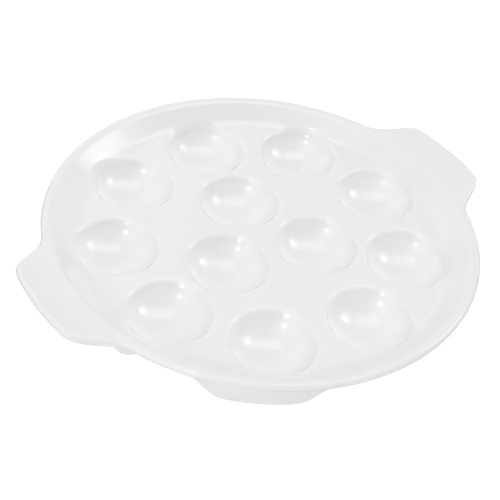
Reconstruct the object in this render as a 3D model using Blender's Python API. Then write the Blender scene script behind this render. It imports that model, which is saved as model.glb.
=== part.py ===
"""Escargot dish: a round white ceramic dish with twelve snail wells, a raised
rim, two lug handles and six arc-shaped feet.  Metres, +Z up, z = 0 at the table,
+X along the line through the two handles."""
import math

import bmesh
import bpy

MM = 0.001
GAP = 0.3 * MM                 # clearance where two pieces meet

# tray: deck, sloping wall and turned-out rim
RIM_R = 110.0 * MM             # outer radius of the rim
RIM_TOP = 28.0 * MM
RIM_EDGE_R = 1.9 * MM          # round of the rim's outer edge
LIP_IN_R = 107.0 * MM          # inner end of the near-flat lip
LIP_SLOPE = math.radians(3.0)
SHOULDER_R = 6.0 * MM          # convex round from lip to wall
WALL_SLOPE = math.radians(35.0)
CORNER_R = 6.0 * MM            # concave round from wall to deck
DECK_TOP = 19.3 * MM
DECK_T = 4.0 * MM
UNDER_R = 96.0 * MM            # outer edge of the deck's flat underside
TRAY_STEPS = 60

# wells
RING_OUT_R = 74.1 * MM         # centres of the nine outer wells
RING_IN_R = 28.3 * MM          # centres of the three inner wells
OUT_COUNT = 9
IN_COUNT = 3
WELL_PHASE = math.radians(-1.0)
IN_FIRST = math.radians(80.0)
BOWL_R = 21.4 * MM             # inside half width of the oval bowl
BOWL_H = 15.3 * MM             # half height of the same oval
BOWL_T = 2.6 * MM
WELL_LIP_R = 1.6 * MM          # round from the deck into the bowl
WELL_LIP_TURN = math.radians(60.0)
WELL_STEPS = 20

# lug handles
LUG_R = 127.0 * MM             # radius of a handle's outer edge
LUG_TOP = 31.0 * MM            # height of its outer edge
LUG_T = 3.4 * MM
LUG_MID = math.radians(15.6)   # half width at the middle of its side curve
LUG_CORNER = math.radians(1.25)
LUG_FILLET = math.radians(2.0)
LUG_END = math.radians(20.0)
LUG_EDGE_R = 1.2 * MM

# feet
FOOT_AT = (1.5, 55.5, 127.5, 181.5, 235.5, 307.5)  # degrees from +X; two under the handles
FOOT_OUT_R = 96.5 * MM         # at the table
FOOT_FLARE_R = 98.8 * MM       # at the top, under the sloping wall
FOOT_IN_R = 90.0 * MM
FOOT_HALF = math.radians(20.0)  # a foot's half length
FOOT_FLAT = math.radians(10.5)  # half length of the part that stands on the table
FOOT_RUN = math.radians(13.5)   # length of the S-curve up to the deck
FOOT_EDGE_R = 2.0 * MM


def new_scene():
    for ob in list(bpy.data.objects):
        bpy.data.objects.remove(ob, do_unlink=True)


def glaze(name, colour, rough):
    mat = bpy.data.materials.new(name)
    mat.use_nodes = True
    bsdf = mat.node_tree.nodes["Principled BSDF"]
    bsdf.inputs["Base Color"].default_value = (*colour, 1.0)
    bsdf.inputs["Roughness"].default_value = rough
    bsdf.inputs["Metallic"].default_value = 0.0
    mat.diffuse_color = (*colour, 1.0)
    return mat


def place(name, bm, parent, mat, angle=35.0):
    """Turn a bmesh into a named, smooth-shaded object."""
    bmesh.ops.remove_doubles(bm, verts=bm.verts[:], dist=1e-6)
    bmesh.ops.recalc_face_normals(bm, faces=bm.faces[:])
    mesh = bpy.data.meshes.new(name)
    bm.to_mesh(mesh)
    bm.free()
    mesh.shade_smooth()
    mesh.set_sharp_from_angle(angle=math.radians(angle))
    mesh.materials.append(mat)
    ob = bpy.data.objects.new(name, mesh)
    bpy.context.scene.collection.objects.link(ob)
    ob.parent = parent
    return ob


def arc(cx, cz, radius, a0, a1, n):
    """Points on an arc in the profile plane, angle measured from +r towards +z."""
    return [(cx + radius * math.cos(a0 + (a1 - a0) * i / n),
             cz + radius * math.sin(a0 + (a1 - a0) * i / n)) for i in range(n + 1)]


def turned(points, steps):
    """Solid of revolution about Z from an open profile whose two ends close with flat caps."""
    bm = bmesh.new()
    verts = [bm.verts.new((r, 0.0, z)) for r, z in points]
    edges = [bm.edges.new((a, b)) for a, b in zip(verts, verts[1:])]
    bmesh.ops.spin(bm, geom=verts + edges, cent=(0, 0, 0), axis=(0, 0, 1),
                   angle=2 * math.pi, steps=steps, use_merge=True, use_normal_flip=False)
    bmesh.ops.remove_doubles(bm, verts=bm.verts[:], dist=1e-7)
    open_edges = [e for e in bm.edges if e.is_boundary]
    bmesh.ops.edgeloop_fill(bm, edges=open_edges)
    bmesh.ops.recalc_face_normals(bm, faces=bm.faces[:])
    return bm


# ---- profiles -------------------------------------------------------------
def tray_profile():
    """Top of the deck edge, up the wall, over the rim and back under to the deck's underside."""
    half = math.pi / 2
    shoulder_c = (LIP_IN_R + SHOULDER_R * math.sin(LIP_SLOPE),
                  RIM_TOP - 0.4 * MM - SHOULDER_R * math.cos(LIP_SLOPE))
    wall_hi = (shoulder_c[0] - SHOULDER_R * math.sin(WALL_SLOPE),
               shoulder_c[1] + SHOULDER_R * math.cos(WALL_SLOPE))
    low_z = DECK_TOP + CORNER_R * (1 - math.cos(WALL_SLOPE))
    wall_lo_r = wall_hi[0] - (wall_hi[1] - low_z) / math.tan(WALL_SLOPE)
    corner_c = (wall_lo_r - CORNER_R * math.sin(WALL_SLOPE), DECK_TOP + CORNER_R)
    top = arc(*corner_c, CORNER_R, -half, -half + WALL_SLOPE, 4)
    top += arc(*shoulder_c, SHOULDER_R, half + WALL_SLOPE, half + LIP_SLOPE, 3)
    edge_c = (RIM_R - RIM_EDGE_R, RIM_TOP - RIM_EDGE_R)
    top += arc(*edge_c, RIM_EDGE_R, half, -half, 6)
    # underside: under the rim, then down to the flat underside of the deck
    return top + [under_bend(), (UNDER_R, DECK_TOP - DECK_T)]


def under_bend():
    """Where the underside of the wall meets the underside of the rim."""
    return RIM_R - 3.6 * MM, RIM_TOP - 2 * RIM_EDGE_R - 0.4 * MM


def bowl_join():
    """Radius, and depth below the oval's centre, where the lip round meets the bowl."""
    t = math.tan(WELL_LIP_TURN) * BOWL_R / BOWL_H
    x = t / math.hypot(1.0, t)
    return BOWL_R * x, BOWL_H * math.sqrt(1.0 - x * x)


def bowl_centre_z():
    return DECK_TOP - WELL_LIP_R * (1 - math.cos(WELL_LIP_TURN)) + bowl_join()[1]


def lip_centre_r():
    """Lip round is tangent to the deck and to the bowl."""
    return bowl_join()[0] + WELL_LIP_R * math.sin(WELL_LIP_TURN)


def oval(grow, z0, z1, n):
    """Points on the bowl's oval, made larger by grow, between two heights."""
    zc = bowl_centre_z()
    wide, high = BOWL_R + grow, BOWL_H + grow
    a0, a1 = math.asin((z0 - zc) / high), math.asin((z1 - zc) / high)
    return [(wide * math.cos(a0 + (a1 - a0) * i / n),
             zc + high * math.sin(a0 + (a1 - a0) * i / n)) for i in range(n + 1)]


def opening_profile():
    """Cutter for one well's opening, from above the rim to below the deck."""
    under = DECK_TOP - DECK_T
    pts = [(lip_centre_r(), RIM_TOP + 4 * MM), (lip_centre_r(), DECK_TOP)]
    for i in range(1, 4):
        a = math.pi / 2 + WELL_LIP_TURN * i / 3
        pts.append((lip_centre_r() + WELL_LIP_R * math.cos(a),
                    DECK_TOP - WELL_LIP_R + WELL_LIP_R * math.sin(a)))
    return pts + oval(0.0, under, under - 2 * MM, 1)


def cup_profile():
    """Bowl under the deck: inner bowl, flat top ring against the deck, outer bowl."""
    top = DECK_TOP - DECK_T - GAP
    floor = bowl_centre_z() - BOWL_H
    return (oval(0.0, floor + 0.35 * MM, top, 4)
            + oval(BOWL_T, top, floor - BOWL_T + 0.45 * MM, 4))


# ---- pieces ---------------------------------------------------------------
def well_places():
    spots = []
    for i in range(OUT_COUNT):
        a = WELL_PHASE + 2 * math.pi * i / OUT_COUNT
        spots.append((RING_OUT_R * math.cos(a), RING_OUT_R * math.sin(a)))
    for i in range(IN_COUNT):
        a = WELL_PHASE + IN_FIRST + 2 * math.pi * i / IN_COUNT
        spots.append((RING_IN_R * math.cos(a), RING_IN_R * math.sin(a)))
    return spots


def make_tray(parent, mat):
    tray = place("dish_tray", turned(tray_profile(), TRAY_STEPS), parent, mat)
    cutters = bmesh.new()
    for x, y in well_places():
        one = turned(opening_profile(), WELL_STEPS)
        bmesh.ops.translate(one, verts=one.verts[:], vec=(x, y, 0.0))
        tmp = bpy.data.meshes.new("opening")
        one.to_mesh(tmp)
        one.free()
        cutters.from_mesh(tmp)
        bpy.data.meshes.remove(tmp)
    mesh = bpy.data.meshes.new("openings")
    cutters.to_mesh(mesh)
    cutters.free()
    tool = bpy.data.objects.new("openings", mesh)
    bpy.context.scene.collection.objects.link(tool)
    tool.hide_render = True
    tool.display_type = "WIRE"
    tool.parent = parent
    cut = tray.modifiers.new("openings", "BOOLEAN")
    cut.operation = "DIFFERENCE"
    cut.solver = "EXACT"
    cut.object = tool
    return tray


def make_cups(parent, mat):
    first = None
    for i, (x, y) in enumerate(well_places(), 1):
        name = "well_cup_%02d" % i
        if first is None:
            first = place(name, turned(cup_profile(), WELL_STEPS), parent, mat)
            ob = first
        else:
            ob = bpy.data.objects.new(name, first.data)
            bpy.context.scene.collection.objects.link(ob)
            ob.parent = parent
        ob.location = (x, y, 0.0)


def lug_share(a):
    """1 across a handle's middle, falling to 0 where its side runs into the rim."""
    t = (abs(a) - LUG_MID) / (LUG_CORNER if abs(a) < LUG_MID else LUG_FILLET)
    return 1.0 / (1.0 + math.exp(t))


def make_lug(name, turn, parent, mat):
    """A handle as a row of radial sections joined side to side."""
    bm = bmesh.new()
    inner = RIM_R + GAP
    peak = lug_share(0.0)
    n = 24
    loops = []
    for i in range(n + 1):
        a = -LUG_END + 2 * LUG_END * i / n
        share = lug_share(a) / peak
        reach = max((LUG_R - RIM_R) * share, 1.6 * MM)
        outer = RIM_R + reach
        rise = (LUG_TOP - RIM_TOP) * reach / (LUG_R - RIM_R)
        top_in = RIM_TOP - 0.4 * MM
        thick = LUG_T * min(1.0, 0.6 + reach / (20 * MM))
        e = min(LUG_EDGE_R, 0.45 * (outer - inner))
        zt = RIM_TOP + rise
        zi = top_in - 2.0 * MM
        sec = [(inner, top_in), (0.5 * (inner + outer), 0.5 * (top_in + zt) - 0.15 * rise),
               (outer - e, zt), (outer - 0.3 * e, zt - 0.3 * e), (outer, zt - e),
               (outer, zt - thick + e), (outer - e, zt - thick),
               (0.5 * (inner + outer), 0.5 * (zi + zt - thick) - 0.15 * rise), (inner, zi)]
        loops.append([bm.verts.new((r * math.cos(a), r * math.sin(a), z)) for r, z in sec])
    m = len(loops[0])
    for p, q in zip(loops, loops[1:]):
        for k in range(m):
            bm.faces.new((p[k], p[(k + 1) % m], q[(k + 1) % m], q[k]))
    bm.faces.new(loops[0])
    bm.faces.new(list(reversed(loops[-1])))
    ob = place(name, bm, parent, mat)
    ob.rotation_euler = (0.0, 0.0, turn)
    return ob


def foot_lift(a):
    """Height of a foot's underside along its length: flat, then an S-curve up at each end."""
    t = (abs(a) - FOOT_FLAT) / FOOT_RUN
    t = min(max(t, 0.0), 1.0)
    return t * t * (3 - 2 * t)


def make_bowl_tool(parent):
    """Plugs the size of the bowls' outsides plus the clearance, which trim the feet."""
    tools = bmesh.new()
    floor = bowl_centre_z() - BOWL_H - BOWL_T
    for x, y in well_places():
        one = turned(oval(BOWL_T + GAP, DECK_TOP, floor, 5), WELL_STEPS)
        bmesh.ops.translate(one, verts=one.verts[:], vec=(x, y, 0.0))
        tmp = bpy.data.meshes.new("bowl_plug")
        one.to_mesh(tmp)
        one.free()
        tools.from_mesh(tmp)
        bpy.data.meshes.remove(tmp)
    mesh = bpy.data.meshes.new("bowl_plugs")
    tools.to_mesh(mesh)
    tools.free()
    tool = bpy.data.objects.new("bowl_plugs", mesh)
    bpy.context.scene.collection.objects.link(tool)
    tool.hide_render = True
    tool.display_type = "WIRE"
    tool.parent = parent
    return tool


def make_foot(name, turn, parent, mat, tool):
    """An arc of foot ring, round at its bottom edges and swept up at both ends."""
    bm = bmesh.new()
    top = DECK_TOP - DECK_T - GAP
    n = 16
    loops = []
    bend = under_bend()
    rise = (bend[1] - top - GAP) / (bend[0] - UNDER_R)
    wall_in = UNDER_R - 0.3 * MM
    wall_top = top + GAP + (FOOT_FLARE_R - UNDER_R) * rise - 1.5 * GAP
    for i in range(n + 1):
        a = -FOOT_HALF + 2 * FOOT_HALF * i / n
        z0 = foot_lift(a) * (DECK_TOP - DECK_T)
        ez = min(FOOT_EDGE_R, 0.4 * (top - z0))
        e = FOOT_EDGE_R

        def side(z):
            return FOOT_OUT_R + (FOOT_FLARE_R - FOOT_OUT_R) * z / wall_top

        mid = 0.5 * (wall_top + z0)
        sec = [(FOOT_IN_R, top), (wall_in, top), (FOOT_FLARE_R, wall_top),
               (side(mid), mid), (side(z0 + ez), z0 + ez),
               (side(z0) - 0.3 * e, z0 + 0.3 * ez),
               (side(z0) - e, z0), (FOOT_IN_R + 0.75 * e, z0),
               (FOOT_IN_R, z0 + 0.75 * ez)]
        loops.append([bm.verts.new((r * math.cos(a), r * math.sin(a), z)) for r, z in sec])
    m = len(loops[0])
    for p, q in zip(loops, loops[1:]):
        for k in range(m):
            bm.faces.new((p[k], p[(k + 1) % m], q[(k + 1) % m], q[k]))
    bm.faces.new(loops[0])
    bm.faces.new(list(reversed(loops[-1])))
    ob = place(name, bm, parent, mat)
    ob.rotation_euler = (0.0, 0.0, turn)
    trim = ob.modifiers.new("bowls", "BOOLEAN")
    trim.operation = "DIFFERENCE"
    trim.solver = "EXACT"
    trim.object = tool
    return ob


def main():
    new_scene()
    root = bpy.data.objects.new("escargot_dish", None)
    bpy.context.scene.collection.objects.link(root)
    white = glaze("white_glaze", (0.84, 0.84, 0.83), 0.08)
    bare = glaze("foot_glaze", (0.82, 0.81, 0.79), 0.25)
    make_tray(root, white)
    make_cups(root, white)
    make_lug("handle_right", 0.0, root, white)
    make_lug("handle_left", math.pi, root, white)
    plugs = make_bowl_tool(root)
    for i, at in enumerate(FOOT_AT, 1):
        make_foot("foot_%02d" % i, math.radians(at), root, bare, plugs)


main()
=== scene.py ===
"""Looks of the white escargot dish: deck with rounded wells, raised rim, lug handles and feet.
Shapes are worked out in millimetres and placed in metres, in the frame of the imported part."""

import math

import bpy
import numpy as np
from mathutils import Matrix, Vector
from mathutils.geometry import delaunay_2d_cdt


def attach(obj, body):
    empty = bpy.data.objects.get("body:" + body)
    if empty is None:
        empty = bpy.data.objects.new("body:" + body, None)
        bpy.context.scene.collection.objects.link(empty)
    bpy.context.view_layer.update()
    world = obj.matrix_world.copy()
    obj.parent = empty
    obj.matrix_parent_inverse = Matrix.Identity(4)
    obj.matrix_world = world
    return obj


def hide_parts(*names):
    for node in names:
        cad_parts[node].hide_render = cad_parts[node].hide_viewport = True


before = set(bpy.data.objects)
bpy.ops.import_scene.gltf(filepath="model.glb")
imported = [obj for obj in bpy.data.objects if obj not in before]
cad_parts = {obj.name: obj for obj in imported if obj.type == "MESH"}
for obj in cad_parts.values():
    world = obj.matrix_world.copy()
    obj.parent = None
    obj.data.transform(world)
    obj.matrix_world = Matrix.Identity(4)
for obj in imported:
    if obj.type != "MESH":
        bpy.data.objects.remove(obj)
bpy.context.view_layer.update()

MM = 0.001
TURN = 2 * math.pi

# tray
DECK, UNDER = 19.3, 15.3
CORNER_R = 13.0
WALL = math.radians(35.0)
LIP_R, LIP_Z, LIP_TILT = 107.0, 27.6, math.radians(3.0)
SHOULDER_R = 6.0
RIM_R, EDGE_R = 110.0, 1.9
UNDER_R = 97.4                  # where the wall's underside would meet the deck's
JOIN_R = 108.0                  # where a handle takes over from the rim
GRID_R = 98.0                   # inner end of the rim's ring-shaped grid
AROUND = 720

# wells
RING_OUT, RING_IN = 74.1, 28.3
PHASE, IN_FIRST = -1.0, 79.0
BOWL_R, BOWL_H, BOWL_T = 22.14, 15.76, 2.5
WLIP_R, WLIP_TURN = 3.5, math.radians(58.0)
WELL_SEG = 96
PAD_R = 22.6                    # outer ring of each well's own grid

# handles
LUG_REACH, LUG_FLAT, LUG_RUN = 16.7, 10.0, 14.0
LUG_END = 25.0
LUG_LIFT = 2.3

# feet
FOOT_AT = (1.5, 55.5, 127.5, 181.5, 235.5, 307.5)
FOOT_IN, FOOT_OUT, FOOT_TOP = 90.0, 96.5, 98.8
FOOT_FLAT, FOOT_RUN, FOOT_END = 10.5, 13.5, 22.5


# ---------------------------------------------------------------- profiles
SH_C = (LIP_R + SHOULDER_R * math.sin(LIP_TILT), LIP_Z - SHOULDER_R * math.cos(LIP_TILT))
WALL_HI = (SH_C[0] - SHOULDER_R * math.sin(WALL), SH_C[1] + SHOULDER_R * math.cos(WALL))
WALL_LO_Z = DECK + CORNER_R * (1 - math.cos(WALL))
WALL_LO_R = WALL_HI[0] - (WALL_HI[1] - WALL_LO_Z) / math.tan(WALL)
CORNER_C = WALL_LO_R - CORNER_R * math.sin(WALL)


def rim_rise(r):
    """Height above the deck of the corner, wall, shoulder and lip at radius r."""
    corner = CORNER_R - np.sqrt(np.maximum(CORNER_R ** 2 - (r - CORNER_C) ** 2, 0.0))
    wall = WALL_LO_Z - DECK + (r - WALL_LO_R) * math.tan(WALL)
    shoulder = np.sqrt(np.maximum(SHOULDER_R ** 2 - (r - SH_C[0]) ** 2, 0.0)) + SH_C[1] - DECK
    lip = LIP_Z - DECK + (r - LIP_R) * math.tan(LIP_TILT)
    return np.where(r < CORNER_C, 0.0, np.where(r < WALL_LO_R, corner, np.where(
        r < WALL_HI[0], wall, np.where(r < LIP_R, shoulder, lip))))


_t = math.tan(WLIP_TURN) * BOWL_R / BOWL_H
_x = _t / math.hypot(1.0, _t)
WELL_J = BOWL_R * _x                                            # lip meets bowl
WELL_O = WELL_J + WLIP_R * math.sin(WLIP_TURN)                  # lip meets deck
BOWL_Z = DECK - WLIP_R * (1 - math.cos(WLIP_TURN)) + BOWL_H * math.sqrt(1 - _x * _x)
SEAM = BOWL_R * math.sqrt(1 - ((UNDER - BOWL_Z) / BOWL_H) ** 2)  # bowl at the deck's underside


def well_drop(p):
    lip = WLIP_R - np.sqrt(np.maximum(WLIP_R ** 2 - (WELL_O - p) ** 2, 0.0))
    bowl = DECK - BOWL_Z + BOWL_H * np.sqrt(np.maximum(1 - (p / BOWL_R) ** 2, 0.0))
    return np.where(p > WELL_O, 0.0, np.where(p > WELL_J, lip, bowl))


def well_places():
    spots = [(RING_OUT, PHASE + 40.0 * i) for i in range(9)]
    spots += [(RING_IN, IN_FIRST + 120.0 * i) for i in range(3)]
    return [(r * math.cos(math.radians(a)), r * math.sin(math.radians(a))) for r, a in spots]


WELLS = well_places()


def lug_share(th):
    """1 across a handle, 0 away from it, with a soft S between."""
    a = np.degrees(np.abs((th + math.pi / 2) % math.pi - math.pi / 2))
    u = np.clip((a - LUG_FLAT) / LUG_RUN, 0.0, 1.0) ** 0.8
    return 1.0 - u ** 3 * (u * (u * 6 - 15) + 10)


def outline(th):
    return RIM_R + LUG_REACH * lug_share(th)


def top_z(x, y):
    r = np.hypot(x, y)
    rise, drop = rim_rise(r), 0.0
    for wx, wy in WELLS:
        p = np.hypot(x - wx, y - wy)
        # the foot of the wall runs out where it reaches a well
        k = np.clip((p - SEAM) / (WELL_O + 0.6 - SEAM), 0.0, 1.0)
        rise = rise * (k * k * (3.0 - 2.0 * k))
        drop = drop + well_drop(p)
    z = DECK + rise - drop
    reach = np.maximum(r - JOIN_R, 0.0) / (127.0 - JOIN_R)
    return z + LUG_LIFT * lug_share(np.arctan2(y, x)) * reach ** 2


def top_normal(x, y, h=0.01):
    gx = (top_z(x + h, y) - top_z(x - h, y)) / (2 * h)
    gy = (top_z(x, y + h) - top_z(x, y - h)) / (2 * h)
    n = np.stack([-gx, -gy, np.ones_like(gx)], -1)
    return n / np.linalg.norm(n, axis=-1, keepdims=True)


def under_path():
    """Underside of the tray from the rim inwards: lip, shoulder, wall, deck corner (r, z)."""
    t = 2 * EDGE_R
    start = (JOIN_R + t * math.sin(LIP_TILT),
             LIP_Z + (JOIN_R - LIP_R) * math.tan(LIP_TILT) - t * math.cos(LIP_TILT))
    pts = [start]
    low, slope = (UNDER_R, UNDER), WALL
    for _ in range(40):
        hi = (SH_C[0] - (SHOULDER_R - t) * math.sin(slope), SH_C[1] + (SHOULDER_R - t) * math.cos(slope))
        slope = math.atan2(hi[1] - low[1], hi[0] - low[0])
    for i in range(9):
        a = math.pi / 2 + LIP_TILT + (slope - LIP_TILT) * i / 8
        pts.append((SH_C[0] + (SHOULDER_R - t) * math.cos(a), SH_C[1] + (SHOULDER_R - t) * math.sin(a)))
    hi = pts[-1]
    back = 1.0 * math.tan(slope / 2)
    cen = (low[0] - back, UNDER + 1.0)
    arc = [(cen[0] + math.sin(a), cen[1] - math.cos(a)) for a in np.linspace(slope, 0.0, 6)]
    for i in range(1, 6):
        k = i / 6
        pts.append((hi[0] + (arc[0][0] - hi[0]) * k, hi[1] + (arc[0][1] - hi[1]) * k))
    return pts + arc


UNDER_PATH = under_path()


def under_z(r):
    pr = np.array([p[0] for p in UNDER_PATH][::-1])
    pz = np.array([p[1] for p in UNDER_PATH][::-1])
    return np.interp(r, pr, pz)


def ring_xy(radius, n, cx=0.0, cy=0.0):
    a = np.arange(n) * TURN / n
    return np.stack([cx + radius * np.cos(a), cy + radius * np.sin(a)], -1)


# ---------------------------------------------------------------- mesh building
class Shell:
    """Vertices, faces and the surface normal at every face corner."""

    def __init__(self):
        self.co, self.faces, self.corner = [], [], []

    def add(self, pts):
        first = len(self.co)
        self.co.extend(tuple(map(float, p)) for p in pts)
        return list(range(first, len(self.co)))

    def face(self, ids, normals):
        self.faces.append(tuple(ids))
        self.corner.extend(tuple(map(float, n)) for n in normals)

    def strip(self, a, b, na, nb, closed=True):
        """Quads from row a to row b (b further along the section), both running anticlockwise."""
        n = len(a)
        for i in range(n if closed else n - 1):
            j = (i + 1) % n
            self.face((a[i], b[i], b[j], a[j]), (na[i], nb[i], nb[j], na[j]))

    def make(self, name):
        mesh = bpy.data.meshes.new(name)
        mesh.from_pydata([(x * MM, y * MM, z * MM) for x, y, z in self.co], [], self.faces)
        mesh.shade_smooth()
        mesh.normals_split_custom_set(self.corner)
        mesh.update()
        ob = bpy.data.objects.new(name, mesh)
        bpy.context.scene.collection.objects.link(ob)
        return ob


def fill(loops, extra):
    """Triangles between an outer loop and hole loops, through extra points. Loops and extra are lists of (index, xy)."""
    ids, xy, edges, owner = [], [], [], []
    for k, loop in enumerate(loops):
        base = len(ids)
        for i, (vid, p) in enumerate(loop):
            ids.append(vid)
            xy.append(Vector((float(p[0]), float(p[1]))))
            owner.append(k)
            edges.append((base + i, base + (i + 1) % len(loop)))
    for vid, p in extra:
        ids.append(vid)
        xy.append(Vector((float(p[0]), float(p[1]))))
        owner.append(-1)
    out, _, tris, back, _, _ = delaunay_2d_cdt(xy, edges, [], 0, 1e-7)
    faces = []
    for tri in tris:
        src = [back[v][0] for v in tri]
        own = {owner[s] for s in src}
        if len(own) == 1 and own != {-1} and own != {0}:
            continue
        a, b, c = (xy[s] for s in src)
        if (b - a).cross(c - a) < 0:
            src.reverse()
        faces.append([ids[s] for s in src])
    return faces


def section_edge(th):
    """Rounded outer edge of the rim or a handle at the given angles: offset inwards from the outline, then a half circle.
    Returns the inner end on the top surface, the half circle's points and their normals."""
    h = 1e-4
    r = outline(th)
    p = np.stack([r * np.cos(th), r * np.sin(th)], -1)
    ra, rb = outline(th - h), outline(th + h)
    d = np.stack([rb * np.cos(th + h) - ra * np.cos(th - h), rb * np.sin(th + h) - ra * np.sin(th - h)], -1)
    d /= np.linalg.norm(d, axis=-1, keepdims=True)
    plan = np.stack([d[:, 1], -d[:, 0]], -1)
    q = p - EDGE_R * plan
    up = top_normal(q[:, 0], q[:, 1])
    out = np.concatenate([plan, np.zeros((len(th), 1))], 1)
    out -= (out * up).sum(1, keepdims=True) * up
    out /= np.linalg.norm(out, axis=1, keepdims=True)
    # the half circle keeps to the outline in plan
    q = q - plan * (EDGE_R * (-(up[:, :2] * plan).sum(1)))[:, None]
    q3 = np.concatenate([q, top_z(q[:, 0], q[:, 1])[:, None]], 1)
    cen = q3 - EDGE_R * up
    rows, norms = [], []
    for a in np.linspace(math.pi / 2, -math.pi / 2, 13):
        n = out * math.cos(a) + up * math.sin(a)
        rows.append(cen + EDGE_R * n)
        norms.append(n)
    return q, rows, norms


def lug_sections(th):
    """Rows of a handle or rim edge from the join, over the top, round the edge and back underneath."""
    inner = np.stack([JOIN_R * np.cos(th), JOIN_R * np.sin(th)], -1)
    q, edge, edge_n = section_edge(th)
    rows, norms, low, low_n = [], [], [], []
    steps = 14
    for k in range(steps):
        xy = inner + (q - inner) * (k / steps)
        up = top_normal(xy[:, 0], xy[:, 1])
        if k == 0:
            up = np.stack([-math.sin(LIP_TILT) * np.cos(th), -math.sin(LIP_TILT) * np.sin(th),
                           np.full_like(th, math.cos(LIP_TILT))], -1)
        top = np.concatenate([xy, top_z(xy[:, 0], xy[:, 1])[:, None]], 1)
        rows.append(top)
        norms.append(up)
        low.append(top - 2 * EDGE_R * up)
        low_n.append(-up)
    return rows + edge + low[::-1], norms + edge_n + low_n[::-1]


LUG_N = int(round(LUG_END * AROUND / 360))


def angle_rows(first, last):
    return np.arange(first, last + 1) * TURN / AROUND


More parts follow.
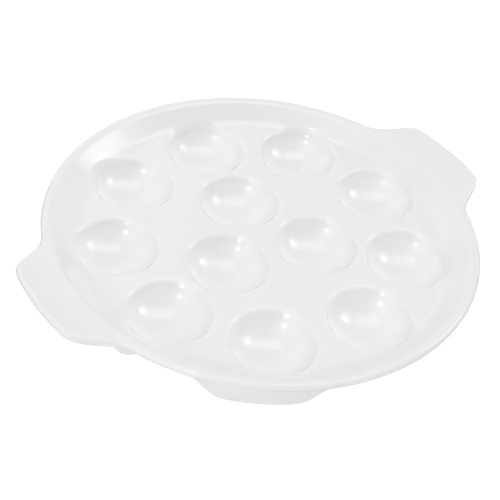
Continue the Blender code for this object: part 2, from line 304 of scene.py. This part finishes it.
def make_tray():
    s = Shell()
    up = (0.0, 0.0, 1.0)
    down = (0.0, 0.0, -1.0)
    # lips of the wells
    ellipse = [BOWL_R * math.sqrt(1 - ((z - BOWL_Z) / BOWL_H) ** 2) for z in np.linspace(
        UNDER, DECK - WLIP_R * (1 - math.cos(WLIP_TURN)), 7)]
    lip = [WELL_O - WLIP_R * math.sin(WLIP_TURN * (1 - k / 12)) for k in range(1, 13)]
    pads, seams = [], []
    for wx, wy in WELLS:
        prev = None
        for radius in ellipse + [v for v in lip if v < PAD_R - 0.1] + [PAD_R]:
            xy = ring_xy(radius, WELL_SEG, wx, wy)
            z = top_z(xy[:, 0], xy[:, 1])
            ids = s.add(np.column_stack([xy, z]))
            n = top_normal(xy[:, 0], xy[:, 1])
            if prev:
                s.strip(prev[0], ids, prev[1], n)
            else:
                seams.append(list(zip(ids, xy)))
            prev = (ids, n)
        pads.append(list(zip(prev[0], xy)))
    # flat deck between the wells and the foot of the wall
    rim = ring_xy(GRID_R, AROUND)
    rim_ids = s.add(np.column_stack([rim, top_z(rim[:, 0], rim[:, 1])]))
    pts = []
    gap = 1.6
    for j in range(-72, 73):
        for i in range(-72, 73):
            pts.append((gap * (i + 0.5 * (j % 2)), gap * 0.866 * j))
    pts = np.array(pts)
    pts = pts[np.hypot(pts[:, 0], pts[:, 1]) < CORNER_C - 0.6]
    for k, r in enumerate(np.linspace(CORNER_C + 0.3, GRID_R - 0.6, 15)):
        c = ring_xy(r, AROUND)
        pts = np.concatenate([pts, c[(k % 2)::2]])
    clear = np.ones(len(pts), bool)
    for wx, wy in WELLS:
        clear &= np.hypot(pts[:, 0] - wx, pts[:, 1] - wy) > PAD_R + 0.55
    pts = pts[clear]
    extra = s.add(np.column_stack([pts, top_z(pts[:, 0], pts[:, 1])]))
    tris = fill([list(zip(rim_ids, rim))] + pads, list(zip(extra, pts)))
    co = np.array(s.co)
    n = top_normal(co[:, 0], co[:, 1])
    for tri in tris:
        s.face(tri, n[tri])
    # wall, shoulder and lip
    radii = list(np.linspace(GRID_R, WALL_HI[0], 8)[1:])
    radii += [SH_C[0] - SHOULDER_R * math.sin(WALL + (LIP_TILT - WALL) * k / 12) for k in range(1, 13)]
    radii += list(np.linspace(LIP_R, JOIN_R, 5)[1:])
    prev, prev_n = rim_ids, top_normal(rim[:, 0], rim[:, 1])
    th = angle_rows(0, AROUND - 1)
    for r in radii:
        xy = ring_xy(r, AROUND)
        ids = s.add(np.column_stack([xy, top_z(xy[:, 0], xy[:, 1])]))
        n = top_normal(xy[:, 0], xy[:, 1])
        if r == radii[-1]:
            n = np.stack([-math.sin(LIP_TILT) * np.cos(th), -math.sin(LIP_TILT) * np.sin(th),
                          np.full_like(th, math.cos(LIP_TILT))], -1)
        s.strip(prev, ids, prev_n, n)
        prev, prev_n = ids, n
    top_ids, top_n = prev, prev_n
    # underside, from the join inwards
    path = UNDER_PATH
    rows = []
    for k, (r, z) in enumerate(path):
        a, b = path[max(k - 1, 0)], path[min(k + 1, len(path) - 1)]
        tr, tz = b[0] - a[0], b[1] - a[1]
        length = math.hypot(tr, tz)
        nr, nz = -tz / length, tr / length
        if k == len(path) - 1:
            nr, nz = 0.0, -1.0
        ids = s.add(np.column_stack([r * np.cos(th), r * np.sin(th), np.full(AROUND, z)]))
        rows.append((ids, np.stack([nr * np.cos(th), nr * np.sin(th), np.full(AROUND, nz)], -1)))
    for a, b in zip(rows, rows[1:]):
        s.strip(a[0], b[0], a[1], b[1])
    low_ids = rows[0][0]
    # rim edge between the handles, closed off where a handle is joined on
    out = np.stack([np.cos(th), np.sin(th), np.zeros(AROUND)], -1)
    for first, last in ((LUG_N, AROUND // 2 - LUG_N), (AROUND // 2 + LUG_N, AROUND - LUG_N)):
        span = [i % AROUND for i in range(first, last + 1)]
        sec, sec_n = lug_sections(angle_rows(first, last))
        # the lip's last stretch is straight, so one row each side is enough
        keep = [0] + list(range(14, 27)) + [len(sec) - 1]
        grid = [[top_ids[i] for i in span]]
        grid += [s.add(sec[k]) for k in keep[1:-1]]
        grid += [[low_ids[i] for i in span]]
        norm = [np.array(sec_n[k]) for k in keep]
        for a in range(len(grid) - 1):
            s.strip(grid[a], grid[a + 1], norm[a], norm[a + 1], closed=False)
        for at, side in ((0, -1.0), (-1, 1.0)):
            t = th[span[at]]
            n = (-math.sin(t) * side, math.cos(t) * side, 0.0)
            loop = [g[at] for g in grid]
            if side < 0:
                loop.reverse()
            s.face(loop, [n] * len(loop))
    for first in (-LUG_N, AROUND // 2 - LUG_N):
        span = [i % AROUND for i in range(first, first + 2 * LUG_N + 1)]
        n = out[span]
        s.strip([top_ids[i] for i in span], [low_ids[i] for i in span], n, n, closed=False)
    # deck underside with the wells' openings
    ring = list(zip(rows[-1][0], ring_xy(path[-1][0], AROUND)))
    holes = [loop for loop in seams]
    for tri in fill([ring] + holes, []):
        s.face(tri[::-1], [down] * 3)
    return s.make("tray")


def make_lug(name, middle):
    s = Shell()
    th = angle_rows(middle - LUG_N, middle + LUG_N)
    sec, sec_n = lug_sections(th)
    rows = [s.add(r) for r in sec]
    for a in range(len(rows) - 1):
        s.strip(rows[a], rows[a + 1], sec_n[a], sec_n[a + 1], closed=False)
    back = np.stack([-np.cos(th), -np.sin(th), np.zeros_like(th)], -1)
    s.strip(rows[-1], rows[0], back, back, closed=False)
    for at, side in ((0, -1.0), (-1, 1.0)):
        n = (-math.sin(th[at]) * side, math.cos(th[at]) * side, 0.0)
        loop = [r[at] for r in rows]
        if side < 0:
            loop.reverse()
        s.face(loop, [n] * len(loop))
    return s.make(name)


def cup_outer():
    """Outside of a bowl from the deck's underside, through a fillet, to the bottom (r, z)."""
    big, high, fr = BOWL_R + BOWL_T, BOWL_H + BOWL_T, 1.2
    t = np.linspace(-math.pi / 2, 0.0, 4001)
    er, ez = big * np.cos(t), BOWL_Z + high * np.sin(t)
    lo, hi = big - 2.0, big + 4.0
    for _ in range(60):
        mid = 0.5 * (lo + hi)
        gap = np.hypot(er - mid, ez - (UNDER - fr)).min()
        lo, hi = (mid, hi) if gap < fr else (lo, mid)
    cen = (lo, UNDER - fr)
    k = int(np.argmin(np.hypot(er - cen[0], ez - cen[1])))
    touch = math.atan2(ez[k] - cen[1], er[k] - cen[0])
    if touch < 0:
        touch += TURN
    pts = [(cen[0] + fr * math.cos(a), cen[1] + fr * math.sin(a)) for a in np.linspace(math.pi / 2, touch, 8)]
    for a in np.linspace(t[k], -math.pi / 2, 18)[1:]:
        pts.append((big * math.cos(a), BOWL_Z + high * math.sin(a)))
    return pts


CUP_OUT = cup_outer()


def make_cup(name, wx, wy):
    s = Shell()
    a = np.arange(WELL_SEG) * TURN / WELL_SEG
    cos, sin = np.cos(a), np.sin(a)

    def row(r, z):
        return s.add(np.column_stack([wx + r * cos, wy + r * sin, np.full(WELL_SEG, z)]))

    def turn(nr, nz):
        length = math.hypot(nr, nz)
        return np.stack([nr / length * cos, nr / length * sin, np.full(WELL_SEG, nz / length)], -1)

    # inside, from the pole outwards and up
    t0 = math.asin((UNDER - BOWL_Z) / BOWL_H)
    stations = np.linspace(-math.pi / 2, t0, 26)
    pole = s.add([(wx, wy, BOWL_Z - BOWL_H)])[0]
    prev = None
    for t in stations[1:]:
        r, z = BOWL_R * math.cos(t), BOWL_Z + BOWL_H * math.sin(t)
        ids = row(r, z)
        n = turn(-r / BOWL_R ** 2, (BOWL_Z - z) / BOWL_H ** 2)
        if prev is None:
            for i in range(WELL_SEG):
                j = (i + 1) % WELL_SEG
                s.face((pole, ids[i], ids[j]), ((0, 0, 1), n[i], n[j]))
        else:
            s.strip(prev[0], ids, prev[1], n)
        prev = (ids, n)
    # top ring against the deck
    flat = turn(0.0, 1.0)
    edge = row(*CUP_OUT[0])
    s.strip(prev[0], edge, flat, flat)
    # outside, down to the pole
    prev = None
    for k, (r, z) in enumerate(CUP_OUT[:-1]):
        p, q = CUP_OUT[max(k - 1, 0)], CUP_OUT[k + 1]
        n = turn(-(q[1] - p[1]), q[0] - p[0])
        if k == 0:
            ids, n = edge, turn(0.0, -1.0)
        else:
            ids = row(r, z)
            s.strip(prev[0], ids, prev[1], n)
        prev = (ids, n)
    pole = s.add([(wx, wy, CUP_OUT[-1][1])])[0]
    for i in range(WELL_SEG):
        j = (i + 1) % WELL_SEG
        s.face((prev[0][i], pole, prev[0][j]), (prev[1][i], (0, 0, -1), prev[1][j]))
    return s.make(name)


CUP_Z = np.array([p[1] for p in CUP_OUT][::-1])
CUP_R = np.array([p[0] for p in CUP_OUT][::-1])


def foot_inside(th, z):
    """Inner side of a foot at an angle and height: it stops short of the bowls."""
    reach = FOOT_IN
    if z >= CUP_Z[0]:
        p = float(np.interp(z, CUP_Z, CUP_R)) + 0.04
        for wx, wy in WELLS[:9]:
            d = math.atan2(wy, wx) - th
            off = RING_OUT * math.sin(d)
            if abs(off) < p and math.cos(d) > 0:
                reach = max(reach, RING_OUT * math.cos(d) + math.sqrt(p * p - off * off))
    return reach


def make_foot(name, middle):
    mesh = bpy.data.meshes.new(name)
    verts, faces, count = [], [], None
    z_top = float(under_z(np.array([FOOT_TOP]))[0])
    bend = [p for p in UNDER_PATH if p[0] < FOOT_TOP][::-1]
    angles = np.linspace(-FOOT_END, FOOT_END, 91)
    for a in angles:
        th = math.radians(middle + a)
        t = min(max((abs(a) - FOOT_FLAT) / FOOT_RUN, 0.0), 1.0)
        z0 = UNDER * t * t * (3 - 2 * t)
        room = min(1.0, (UNDER - z0) / 4.0)
        eo, ei = 1.5 * room, 1.2 * room

        def side(z):
            return FOOT_OUT + (FOOT_TOP - FOOT_OUT) * (max(z, 0.0) / z_top) ** 1.5

        sec = [(foot_inside(th, UNDER), UNDER)] + bend + [(FOOT_TOP, z_top)]
        for k in range(1, 9):
            z = z_top + (z0 + eo - z_top) * k / 9
            sec.append((side(z), z))
        for k in range(7):
            b = math.pi / 2 * k / 6
            sec.append((side(z0 + eo) - eo * (1 - math.cos(b)), z0 + eo * (1 - math.sin(b))))
        base = foot_inside(th, z0 + ei)
        for k in range(7):
            b = math.pi / 2 * k / 6
            sec.append((base + ei * (1 - math.sin(b)), z0 + ei * (1 - math.cos(b))))
        for k in range(1, 10):
            z = z0 + ei + (UNDER - z0 - ei) * k / 10
            sec.append((foot_inside(th, z), z))
        count = len(sec)
        verts += [(r * math.cos(th) * MM, r * math.sin(th) * MM, z * MM) for r, z in sec]
    for i in range(len(angles) - 1):
        for k in range(count):
            m = (k + 1) % count
            faces.append((i * count + k, i * count + m, (i + 1) * count + m, (i + 1) * count + k))
    faces.append(tuple(range(count))[::-1])
    last = (len(angles) - 1) * count
    faces.append(tuple(range(last, last + count)))
    mesh.from_pydata(verts, [], faces)
    mesh.shade_smooth()
    mesh.set_sharp_from_angle(angle=math.radians(40.0))
    mesh.update()
    ob = bpy.data.objects.new(name, mesh)
    bpy.context.scene.collection.objects.link(ob)
    return ob


# ---------------------------------------------------------------- materials
def ramp(nodes, links, source, stops):
    node = nodes.new("ShaderNodeValToRGB")
    el = node.color_ramp.elements
    el[0].position, el[0].color = stops[0][0], (*stops[0][1], 1.0)
    el[1].position, el[1].color = stops[-1][0], (*stops[-1][1], 1.0)
    for pos, col in stops[1:-1]:
        e = el.new(pos)
        e.color = (*col, 1.0)
    links.new(source, node.inputs["Fac"])
    return node.outputs["Color"]


def noise(nodes, links, coord, scale, detail, rough):
    node = nodes.new("ShaderNodeTexNoise")
    node.inputs["Scale"].default_value = scale
    node.inputs["Detail"].default_value = detail
    node.inputs["Roughness"].default_value = rough
    links.new(coord, node.inputs["Vector"])
    return node.outputs["Fac"]


def span(nodes, links, source, low, high):
    node = nodes.new("ShaderNodeMapRange")
    node.inputs["From Min"].default_value = 0.3
    node.inputs["From Max"].default_value = 0.7
    node.inputs["To Min"].default_value = low
    node.inputs["To Max"].default_value = high
    links.new(source, node.inputs["Value"])
    return node.outputs["Result"]


def glaze(name, foot=False):
    """Gloss white glaze: faint pooling in the colour, a soft ripple in the surface; bare at a foot's very bottom."""
    mat = bpy.data.materials.new(name)
    mat.use_nodes = True
    nodes, links = mat.node_tree.nodes, mat.node_tree.links
    bsdf = nodes["Principled BSDF"]
    coord = nodes.new("ShaderNodeTexCoord").outputs["Object"]
    pool = noise(nodes, links, coord, 38.0, 3.0, 0.5)
    tint = ramp(nodes, links, pool, [(0.30, (0.925, 0.925, 0.916)), (0.70, (0.935, 0.935, 0.928))])
    fine = noise(nodes, links, coord, 160.0, 2.0, 0.5)
    rough = span(nodes, links, fine, 0.05, 0.07)
    ripple = noise(nodes, links, coord, 90.0, 2.0, 0.45)
    bump = nodes.new("ShaderNodeBump")
    bump.inputs["Strength"].default_value = 0.03
    bump.inputs["Distance"].default_value = 0.0006
    links.new(ripple, bump.inputs["Height"])
    links.new(bump.outputs["Normal"], bsdf.inputs["Normal"])
    if foot:
        sep = nodes.new("ShaderNodeSeparateXYZ")
        links.new(coord, sep.inputs[0])
        wave = noise(nodes, links, coord, 140.0, 2.0, 0.5)
        edge = nodes.new("ShaderNodeMath")
        edge.operation = "MULTIPLY_ADD"
        edge.inputs[1].default_value = 0.0006
        links.new(wave, edge.inputs[0])
        links.new(sep.outputs["Z"], edge.inputs[2])
        bare = nodes.new("ShaderNodeMapRange")
        bare.inputs["From Min"].default_value = 0.0004
        bare.inputs["From Max"].default_value = 0.0007
        bare.inputs["To Min"].default_value = 1.0
        bare.inputs["To Max"].default_value = 0.0
        links.new(edge.outputs[0], bare.inputs["Value"])
        mix = nodes.new("ShaderNodeMix")
        mix.data_type = "RGBA"
        links.new(bare.outputs["Result"], mix.inputs["Factor"])
        links.new(tint, mix.inputs["A"])
        grit = ramp(nodes, links, noise(nodes, links, coord, 900.0, 3.0, 0.6),
                    [(0.35, (0.70, 0.68, 0.64)), (0.65, (0.80, 0.78, 0.74))])
        links.new(grit, mix.inputs["B"])
        tint = mix.outputs["Result"]
        dry = nodes.new("ShaderNodeMix")
        links.new(bare.outputs["Result"], dry.inputs["Factor"])
        links.new(rough, dry.inputs["A"])
        dry.inputs["B"].default_value = 0.7
        rough = dry.outputs["Result"]
    links.new(tint, bsdf.inputs["Base Color"])
    links.new(rough, bsdf.inputs["Roughness"])
    bsdf.inputs["IOR"].default_value = 1.5
    return mat


white = glaze("white_glaze")
standing = glaze("foot_glaze", foot=True)


def settle(ob, mat, slot, *nodes):
    ob.data.materials.append(mat)
    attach(ob, "root")
    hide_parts(*nodes)


settle(make_tray(), white, "white_glaze", "dish_tray")
for i, (wx, wy) in enumerate(WELLS, 1):
    settle(make_cup("cup_%02d" % i, wx, wy), white, "white_glaze", "well_cup_%02d" % i)
settle(make_lug("lug_right", 0), white, "white_glaze", "handle_right")
settle(make_lug("lug_left", AROUND // 2), white, "white_glaze", "handle_left")
for i, at in enumerate(FOOT_AT, 1):
    settle(make_foot("standing_foot_%02d" % i, at), standing, "foot_glaze", "foot_%02d" % i)


# ---------------------------------------------------------------- stage
def stage_floor():
    mesh = bpy.data.meshes.new("floor")
    h = 4.0
    mesh.from_pydata([(-h, -h, 0), (h, -h, 0), (h, h, 0), (-h, h, 0)], [], [(0, 1, 2, 3)])
    ob = bpy.data.objects.new("floor", mesh)
    bpy.context.scene.collection.objects.link(ob)
    ob.location.z = -0.00005
    mat = bpy.data.materials.new("floor_white")
    mat.use_nodes = True
    bsdf = mat.node_tree.nodes["Principled BSDF"]
    bsdf.inputs["Base Color"].default_value = (0.08, 0.08, 0.08, 1.0)
    bsdf.inputs["Roughness"].default_value = 0.9
    bsdf.inputs["Specular IOR Level"].default_value = 0.0
    bsdf.inputs["Emission Color"].default_value = (1.0, 1.0, 1.0, 1.0)
    bsdf.inputs["Emission Strength"].default_value = FLOOR_GLOW
    mesh.materials.append(mat)
    ob.visible_glossy = False
    # a pale wall far behind the floor, which only the camera sees
    ring = [(3.9 * math.cos(i * math.pi / 24), 3.9 * math.sin(i * math.pi / 24)) for i in range(48)]
    wall = bpy.data.meshes.new("backdrop")
    wall.from_pydata([(x, y, z) for z in (0.0, 4.0) for x, y in ring], [],
                     [(i, (i + 1) % 48, 48 + (i + 1) % 48, 48 + i) for i in range(48)])
    wall.materials.append(mat)
    ob = bpy.data.objects.new("backdrop", wall)
    bpy.context.scene.collection.objects.link(ob)
    ob.visible_glossy = ob.visible_diffuse = ob.visible_transmission = ob.visible_shadow = False


def toward(az, el):
    """Direction of a light; az is counted from the camera's right."""
    a, e = math.radians(az - CAM_AZ), math.radians(el)
    return Vector((math.cos(e) * math.cos(a), math.cos(e) * math.sin(a), math.sin(e)))


def panel(name, az, el, wide, high, bright, roll=0.0, shape="RECTANGLE", mirrored=False):
    """A soft light two metres off, seen wide by high degrees. It either lights the body of the glaze
    or, when mirrored, shows in its surface."""
    data = bpy.data.lights.new(name, "AREA")
    data.shape = shape
    data.size, data.size_y = (4.0 * math.tan(math.radians(v) / 2) for v in (wide, high))
    data.energy = 4.0 * data.size * data.size_y * bright
    ob = bpy.data.objects.new(name, data)
    way = toward(az, el)
    ob.location = 2.0 * way + Vector((0.0, 0.0, 0.02))
    ob.rotation_euler = (way.to_track_quat("Z", "Y").to_matrix() @ Matrix.Rotation(
        math.radians(roll), 3, "Z")).to_euler()
    ob.visible_glossy, ob.visible_diffuse = mirrored, not mirrored
    bpy.context.scene.collection.objects.link(ob)


def studio(glows, boxes):
    """Surroundings mirrored in the glaze: soft round glows (az, el, outer and inner reach in degrees, brightness)
    and soft-edged boxes (az, el, width, height and edge in degrees, roll, brightness)."""
    world = bpy.data.worlds.new("studio")
    world.use_nodes = True
    nodes, links = world.node_tree.nodes, world.node_tree.links
    way = nodes.new("ShaderNodeTexCoord").outputs["Generated"]

    def along(axis):
        node = nodes.new("ShaderNodeVectorMath")
        node.operation = "DOT_PRODUCT"
        links.new(way, node.inputs[0])
        node.inputs[1].default_value = axis
        return node.outputs["Value"]

    def fade(source, off, on, high=1.0):
        node = nodes.new("ShaderNodeMapRange")
        node.interpolation_type = "SMOOTHSTEP"
        node.inputs["From Min"].default_value = off
        node.inputs["From Max"].default_value = on
        node.inputs["To Max"].default_value = high
        links.new(source, node.inputs["Value"])
        return node.outputs["Result"]

    def both(operation, a, b=None):
        node = nodes.new("ShaderNodeMath")
        node.operation = operation
        links.new(a, node.inputs[0])
        if b is not None:
            links.new(b, node.inputs[1])
        return node.outputs["Value"]

    parts = []
    for az, el, outer, inner, bright in glows:
        parts.append(fade(along(toward(az, el)), math.cos(math.radians(outer)), math.cos(math.radians(inner)), bright))
    for az, el, wide, high, edge, roll, bright in boxes:
        middle = toward(az, el)
        turn = middle.to_track_quat("Z", "Y").to_matrix() @ Matrix.Rotation(math.radians(roll), 3, "Z")
        depth = along(middle)
        share = fade(depth, 0.0, 0.1, bright)
        for axis, size in ((0, wide), (1, high)):
            side = both("ABSOLUTE", both("DIVIDE", along(turn.col[axis]), depth))
            share = both("MULTIPLY", share, fade(side, math.tan(math.radians(size + edge) / 2),
                                                 math.tan(math.radians(size - edge) / 2)))
        parts.append(share)
    total = parts[0]
    for part in parts[1:]:
        total = both("ADD", total, part)
    back = nodes["Background"]
    back.inputs["Color"].default_value = (1.0, 1.0, 1.0, 1.0)
    links.new(total, back.inputs["Strength"])
    world.cycles_visibility.diffuse = False
    world.cycles.sampling_method = "NONE"
    bpy.context.scene.world = world


FLOOR_GLOW = 1.05
CAM_AZ = 40.5
stage_floor()
studio([(192.0, 42.0, 60.0, 26.0, 1.00), (85.0, 32.0, 48.0, 20.0, 0.40), (350.0, 15.0, 50.0, 20.0, 0.30),
        (125.0, 23.0, 36.0, 13.0, 0.85), (32.5, 40.0, 13.0, 3.0, 2.3), (34.0, 47.0, 18.0, 5.0, 1.4),
        (42.0, 6.0, 30.0, 8.0, 0.55)],
       [(228.0, 35.0, 34.0, 72.0, 10.0, 0.0, 0.8)])
panel("lamp_right", 33.5, 37.5, 6.0, 7.0, 1.8, shape="ELLIPSE", mirrored=True)
panel("lamp_left_high", 241.4, 52.9, 10.0, 11.0, 3.4, shape="ELLIPSE", mirrored=True)
panel("lamp_left_low", 249.8, 21.7, 11.0, 13.0, 4.5, shape="ELLIPSE", mirrored=True)
panel("box_top", 63.5, 75.1, 38.0, 25.0, 1.38, roll=35.5, mirrored=True)
panel("fill_top", 0.0, 89.0, 60.0, 60.0, 0.93)
panel("fill_front_high", 300.0, 62.0, 40.0, 40.0, 0.75)
panel("fill_back", 90.0, 45.0, 40.0, 40.0, 0.68)
panel("fill_left", 180.0, 45.0, 40.0, 40.0, 0.61)
panel("fill_front", 270.0, 45.0, 40.0, 40.0, 0.20)
panel("fill_back_left", 135.0, 22.0, 60.0, 30.0, 0.32)
panel("fill_back_right", 45.0, 22.0, 60.0, 30.0, 1.38)
panel("fill_front_left", 225.0, 22.0, 60.0, 30.0, 1.12)
panel("fill_front_right", 315.0, 22.0, 60.0, 30.0, 0.65)

# ---------------------------------------------------------------- camera
cam = bpy.data.cameras.new("camera")
cam.lens, cam.sensor_width, cam.sensor_fit = 85.56, 36.0, "HORIZONTAL"
cam.clip_start, cam.clip_end = 0.01, 50.0
cam_ob = bpy.data.objects.new("camera", cam)
bpy.context.scene.collection.objects.link(cam_ob)
back = Vector((-math.sin(math.radians(40.5)) * math.cos(math.radians(41.24)),
               -math.cos(math.radians(40.5)) * math.cos(math.radians(41.24)), math.sin(math.radians(41.24))))
cam_ob.location = Vector((-0.01411, -0.00937, 0.02241)) + back * 0.5866
cam_ob.rotation_euler = (back.to_track_quat("Z", "Y").to_matrix() @ Matrix.Rotation(
    math.radians(8.517), 3, "Z")).to_euler()
bpy.context.scene.camera = cam_ob
view = bpy.context.scene.view_settings
view.view_transform, view.look, view.exposure, view.gamma = "Standard", "None", 0.0, 1.0
